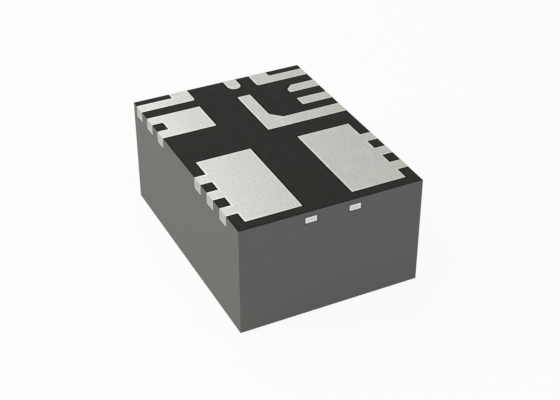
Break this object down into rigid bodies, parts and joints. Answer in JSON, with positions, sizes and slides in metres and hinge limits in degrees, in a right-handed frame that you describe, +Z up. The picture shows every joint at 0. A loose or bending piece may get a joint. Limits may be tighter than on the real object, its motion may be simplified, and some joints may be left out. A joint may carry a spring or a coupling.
{
  "type": "power module",
  "caption": "Leadless moulded step-down power module with bare solder lands on one face and its inductor, die and capacitors inside.",
  "frame": {"origin": "middle of the plain face that the module rests on, opposite the solder lands", "axes": "+X along the short side, to the right in the picture; +Y along the long side, from the edge with the two tie-bar ends to the far edge; +Z up, towards the solder lands"},
  "size_m": [0.0032, 0.0044, 0.002],
  "materials": {
    "mould_compound": "smooth moulded epoxy, sawn matt on four sides",
    "plated_copper": "matt tin plating with a fine grain",
    "silicon": "polished back, sawn sides",
    "copper": "bare drawn copper",
    "solder": "reflowed",
    "powder_core": "pressed alloy powder, matt",
    "capacitor_ceramic": "fired, matt"
  },
  "bodies": {
    "root": {"moulding": "mould_compound", "output_land": "plated_copper", "switch_land": "plated_copper", "supply_land": "plated_copper", "boot_land": "plated_copper", "enable_land": "plated_copper", "mode_land": "plated_copper", "bias_land": "plated_copper", "feedback_land": "plated_copper", "ground_land": "plated_copper", "pillar_solder": "solder", "die_pillars": "copper", "control_die": "silicon", "inductor_core": "powder_core", "inductor_coil": "copper", "inductor_output_terminal": "copper", "inductor_switch_terminal": "copper", "input_capacitor": "capacitor_ceramic", "input_capacitor_ends": "plated_copper", "boot_capacitor": "capacitor_ceramic", "boot_capacitor_ends": "plated_copper", "inductor_solder": "solder", "capacitor_solder": "solder"}
  },
  "joints": []
}
